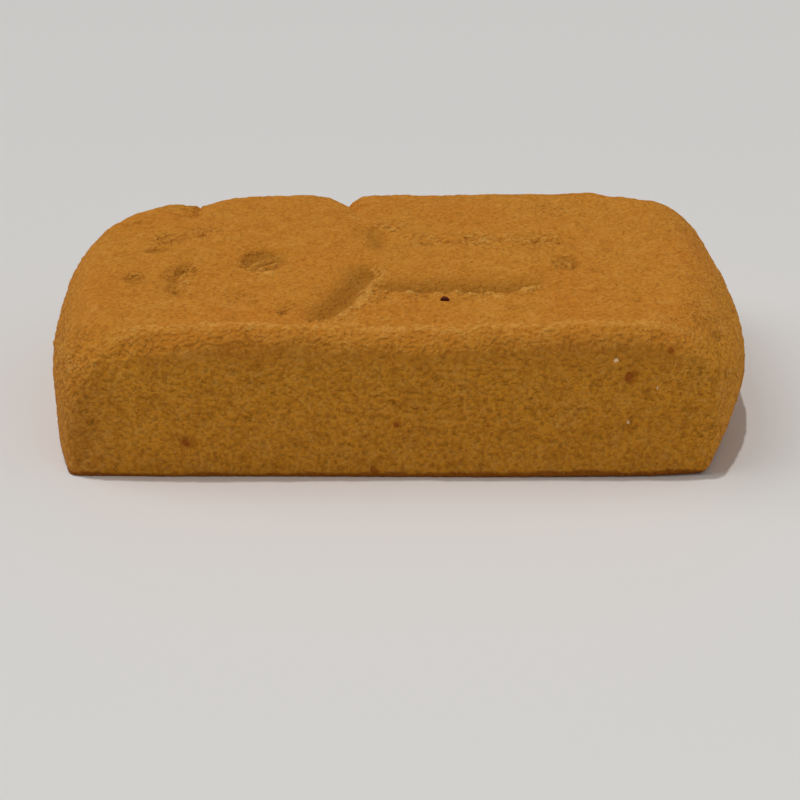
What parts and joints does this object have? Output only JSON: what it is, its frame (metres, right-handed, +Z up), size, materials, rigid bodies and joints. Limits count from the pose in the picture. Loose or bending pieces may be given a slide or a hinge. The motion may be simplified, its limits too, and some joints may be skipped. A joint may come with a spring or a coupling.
{
  "type": "salted caramel cookie",
  "caption": "Thick rounded oblong shortcrust cookie, golden brown, with pressed creases and dents in its top; lies flat on its base.",
  "frame": {"origin": "under the middle of the flat base, on the surface the cookie lies on", "axes": "+X along the cookie to its right-hand end, -Y to the front, +Z up out of the top face"},
  "size_m": [0.0718, 0.0404, 0.0155],
  "materials": {
    "shortcrust": "matte, sandy baked crumb"
  },
  "bodies": {
    "root": {"cookie": "shortcrust"}
  },
  "joints": []
}
